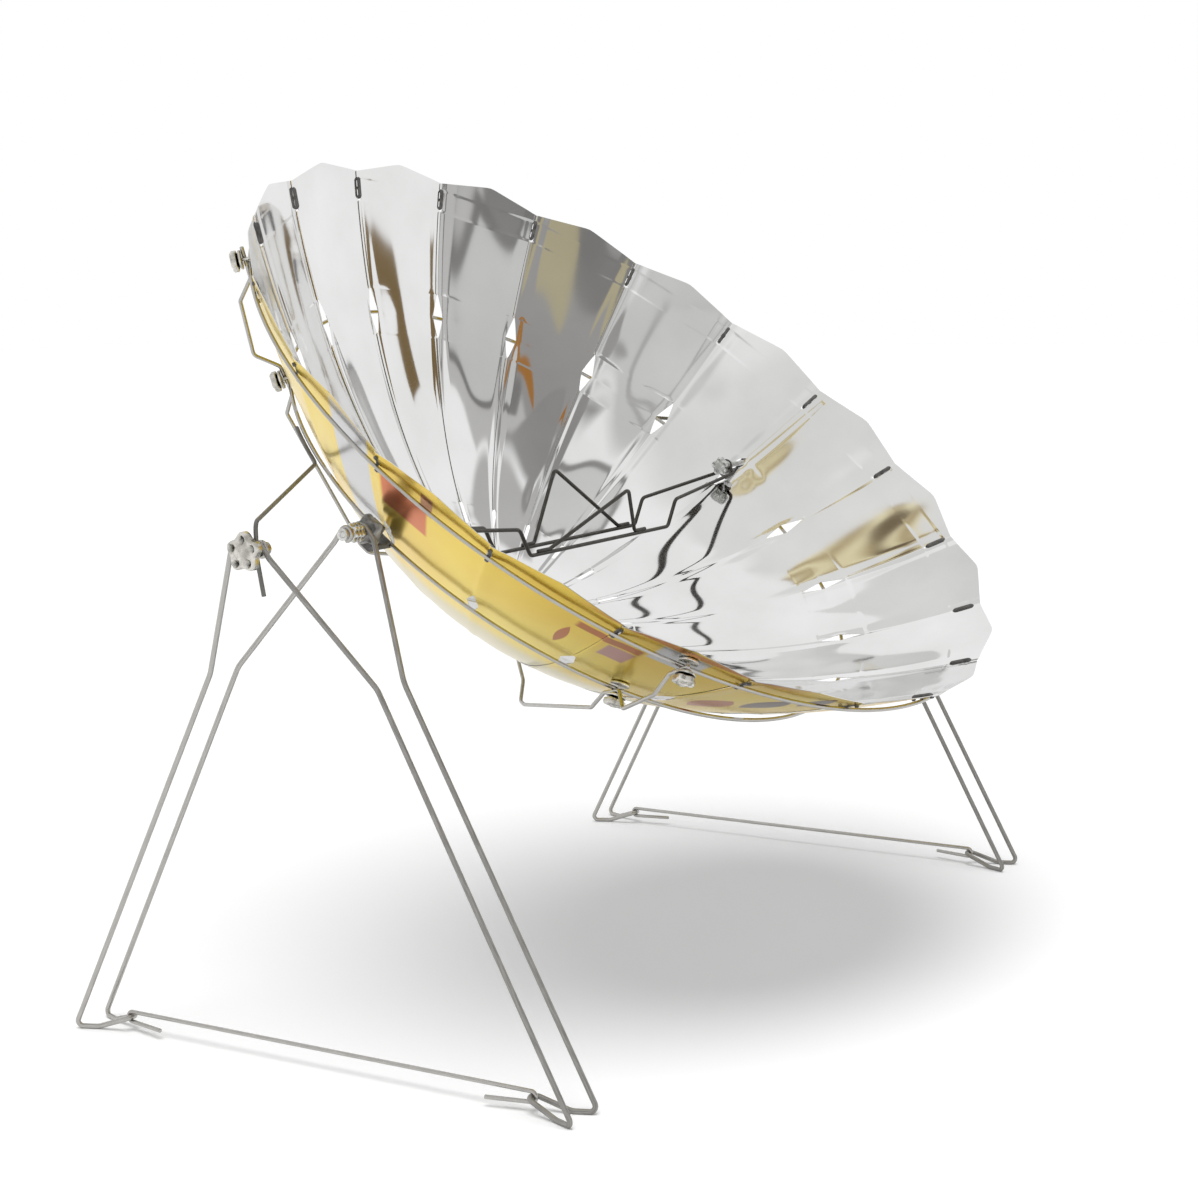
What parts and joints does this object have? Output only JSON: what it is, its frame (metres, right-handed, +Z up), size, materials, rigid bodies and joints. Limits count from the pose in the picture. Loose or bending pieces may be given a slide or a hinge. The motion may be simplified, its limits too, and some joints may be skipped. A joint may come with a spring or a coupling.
{
  "type": "solar cooker",
  "caption": "Tilting parabolic mirror dish of overlapping petals on a folding bent-wire stand, with a wire cradle that holds a pot at the focus.",
  "frame": {"origin": "point on the ground midway between the four feet, straight under the tilt axis", "axes": "+X along the tilt axis from the left stand to the right one, +Z up, and the dish faces -Y"},
  "size_m": [1.094, 0.6924, 0.8286],
  "materials": {
    "mirror_film": "mirror-bright sheet, silver inside the dish and gold-yellow outside",
    "steel_wire": "drawn steel wire, satin",
    "dark_wire": "dark oxidised steel wire, satin",
    "pale_cast": "cast light metal, slightly rough",
    "dark_knob": "dark moulded grip",
    "bright_knob": "bright cast metal, worn"
  },
  "bodies": {
    "dish": {"brace_1": "steel_wire", "brace_2": "steel_wire", "brace_3": "steel_wire", "brace_4": "steel_wire", "crank_left": "steel_wire", "crank_right": "steel_wire", "hub_nut": "pale_cast", "hub_screw": "mirror_film", "inner_bolt_left": "steel_wire", "inner_bolt_right": "steel_wire", "mid_clamp_1": "bright_knob", "mid_clamp_2": "bright_knob", "mid_clamp_3": "bright_knob", "mid_clamp_4": "bright_knob", "mid_ring": "steel_wire", "outer_bolt_left": "steel_wire", "outer_bolt_right": "steel_wire", "petal_01": "mirror_film", "petal_02": "mirror_film", "petal_03": "mirror_film", "petal_04": "mirror_film", "petal_05": "mirror_film", "petal_06": "mirror_film", "petal_07": "mirror_film", "petal_08": "mirror_film", "petal_09": "mirror_film", "petal_10": "mirror_film", "petal_11": "mirror_film", "petal_12": "mirror_film", "petal_13": "mirror_film", "petal_14": "mirror_film", "petal_15": "mirror_film", "petal_16": "mirror_film", "petal_17": "mirror_film", "petal_18": "mirror_film", "petal_19": "mirror_film", "petal_20": "mirror_film", "rim_clamp_1": "bright_knob", "rim_clamp_2": "bright_knob", "rim_clamp_3": "bright_knob", "rim_clamp_4": "bright_knob", "rim_ring": "steel_wire", "saddle_left": "dark_knob", "saddle_right": "dark_knob", "wing_washer_left": "pale_cast", "wing_washer_right": "pale_cast"},
    "pot_cradle": {"cradle_frame_front": "dark_wire", "cradle_frame_rear": "dark_wire"},
    "cradle_knob_left": {"cradle_knob_left": "bright_knob"},
    "cradle_knob_right": {"cradle_knob_right": "bright_knob"},
    "front_leg_left": {"front_leg_left": "steel_wire"},
    "front_leg_right": {"front_leg_right": "steel_wire"},
    "hub_knob_left": {"hub_knob_left": "dark_knob"},
    "hub_knob_right": {"hub_knob_right": "dark_knob"},
    "link_left": {"link_left": "steel_wire"},
    "link_right": {"link_right": "steel_wire"},
    "outer_knob_left": {"outer_knob_left": "bright_knob"},
    "outer_knob_right": {"outer_knob_right": "bright_knob"},
    "stand": {"rear_leg_left": "steel_wire", "rear_leg_right": "steel_wire"}
  },
  "joints": [
    {"name": "dish_tilt", "type": "hinge", "parent": "stand", "child": "dish", "pos_m": [0, 0, 0.481], "axis": [1, 0, 0], "range_deg": [-37.5, 52.5]},
    {"name": "pot_cradle_swing", "type": "hinge", "parent": "dish", "child": "pot_cradle", "pos_m": [0, 0, 0.481], "axis": [1, 0, 0], "range_deg": [-52.5, 37.5]},
    {"name": "front_leg_fold_left", "type": "hinge", "parent": "stand", "child": "front_leg_left", "pos_m": [-0.46, 0, 0.481], "axis": [1, 0, 0], "range_deg": [0, 46]},
    {"name": "link_swing_left", "type": "hinge", "parent": "stand", "child": "link_left", "pos_m": [-0.4675, 0.229, 0.0135], "axis": [1, 0, 0], "range_deg": [-60, 0]},
    {"name": "outer_knob_turn_left", "type": "hinge", "parent": "dish", "child": "outer_knob_left", "pos_m": [-0.5405, 0, 0.481], "axis": [-1, 0, 0], "range_deg": [0, 180]},
    {"name": "hub_knob_turn_left", "type": "hinge", "parent": "dish", "child": "hub_knob_left", "pos_m": [-0.3684, 0, 0.481], "axis": [-1, 0, 0], "range_deg": [0, 180]},
    {"name": "cradle_knob_turn_left", "type": "hinge", "parent": "dish", "child": "cradle_knob_left", "pos_m": [-0.2937, 0, 0.481], "axis": [1, 0, 0], "range_deg": [0, 180]},
    {"name": "front_leg_fold_right", "type": "hinge", "parent": "stand", "child": "front_leg_right", "pos_m": [0.46, 0, 0.481], "axis": [1, 0, 0], "range_deg": [0, 46]},
    {"name": "link_swing_right", "type": "hinge", "parent": "stand", "child": "link_right", "pos_m": [0.4675, 0.229, 0.0135], "axis": [1, 0, 0], "range_deg": [-60, 0]},
    {"name": "outer_knob_turn_right", "type": "hinge", "parent": "dish", "child": "outer_knob_right", "pos_m": [0.5405, 0, 0.481], "axis": [1, 0, 0], "range_deg": [0, 180]},
    {"name": "hub_knob_turn_right", "type": "hinge", "parent": "dish", "child": "hub_knob_right", "pos_m": [0.3684, 0, 0.481], "axis": [1, 0, 0], "range_deg": [0, 180]},
    {"name": "cradle_knob_turn_right", "type": "hinge", "parent": "dish", "child": "cradle_knob_right", "pos_m": [0.2937, 0, 0.481], "axis": [-1, 0, 0], "range_deg": [0, 180]}
  ]
}
